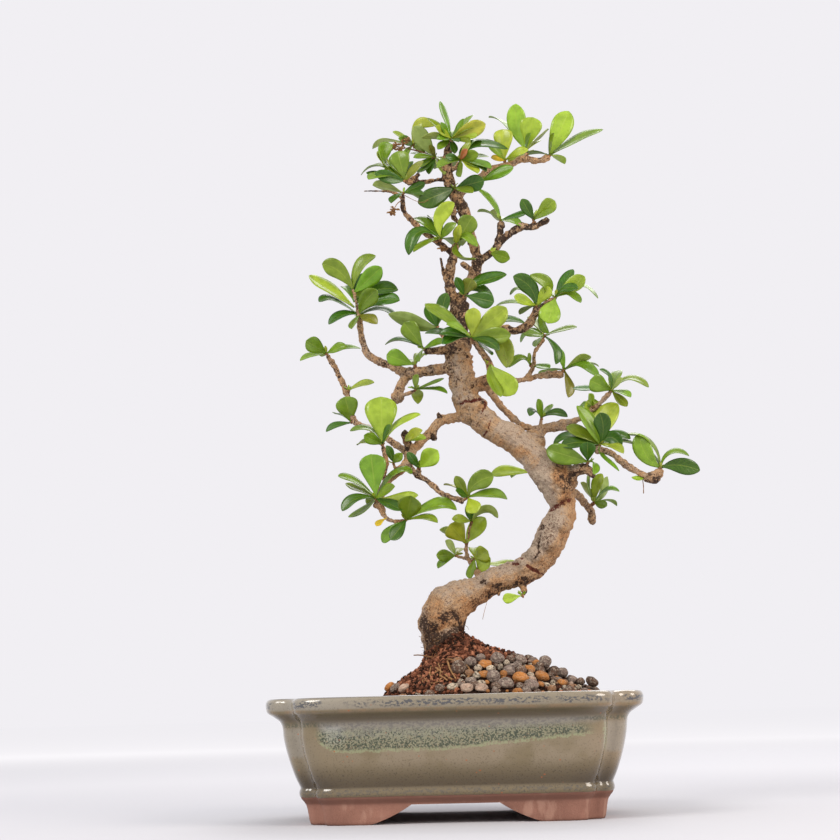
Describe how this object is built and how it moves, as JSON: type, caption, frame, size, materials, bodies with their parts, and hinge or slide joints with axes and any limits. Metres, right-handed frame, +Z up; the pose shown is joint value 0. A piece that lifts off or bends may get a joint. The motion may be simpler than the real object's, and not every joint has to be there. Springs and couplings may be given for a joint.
{
  "type": "fukien tea bonsai",
  "caption": "Fukien tea bonsai: an S-shaped bark-covered trunk with small glossy spoon-shaped leaves in sprays, in a glazed notched-corner tray pot with soil and clay pebbles.",
  "frame": {"origin": "under the middle of the plant and pot's overall box, on the surface that the pot's feet stand on", "axes": "+Z up, the pot's long side along X, the front that the picture shows towards -Y"},
  "size_m": [0.3006, 0.19, 0.5145],
  "materials": {
    "glazed_pot": "gloss",
    "drain_mesh": "matte",
    "bark": "matte",
    "soil": "matte",
    "pebble": "matte",
    "leaf": "gloss"
  },
  "bodies": {
    "root": {"pot": "glazed_pot", "drain_mesh_left": "drain_mesh", "drain_mesh_right": "drain_mesh", "wood": "bark", "soil": "soil", "pebbles": "pebble", "leaves_black_fork": "leaf", "leaves_black_start": "leaf", "leaves_black_tip": "leaf", "leaves_centre_inner": "leaf", "leaves_centre_outer": "leaf", "leaves_crown_centre": "leaf", "leaves_crown_left_high": "leaf", "leaves_crown_left_low": "leaf", "leaves_crown_right": "leaf", "leaves_crown_tip": "leaf", "leaves_far_centre_spray": "leaf", "leaves_far_left_low": "leaf", "leaves_far_left_side": "leaf", "leaves_far_left_tip": "leaf", "leaves_front_hanging": "leaf", "leaves_front_low_spray": "leaf", "leaves_front_shoot_spray": "leaf", "leaves_junction": "leaf", "leaves_left_arm_tip": "leaf", "leaves_left_cut_spray": "leaf", "leaves_left_high": "leaf", "leaves_left_low_big": "leaf", "leaves_left_low_dead_spray": "leaf", "leaves_left_low_middle": "leaf", "leaves_left_low_riser_spray": "leaf", "leaves_left_low_small": "leaf", "leaves_left_lowest_spray": "leaf", "leaves_left_middle": "leaf", "leaves_middle_left_arm": "leaf", "leaves_middle_low": "leaf", "leaves_middle_right_arm": "leaf", "leaves_rear_inner": "leaf", "leaves_rear_low_base": "leaf", "leaves_rear_low_middle": "leaf", "leaves_rear_low_right_spray": "leaf", "leaves_rear_low_tip": "leaf", "leaves_rear_low_top": "leaf", "leaves_rear_middle": "leaf", "leaves_rear_right": "leaf", "leaves_right_high_mid": "leaf", "leaves_right_high_tip": "leaf", "leaves_right_knob": "leaf", "leaves_right_low_tip": "leaf", "leaves_right_middle": "leaf", "leaves_right_top_inner": "leaf", "leaves_right_top_low": "leaf", "leaves_right_top_mid": "leaf", "leaves_right_top_outer": "leaf", "leaves_trunk_top_left": "leaf", "leaves_trunk_top_side": "leaf", "leaves_under_bend": "leaf", "leaves_upper_stem": "leaf"}
  },
  "joints": []
}
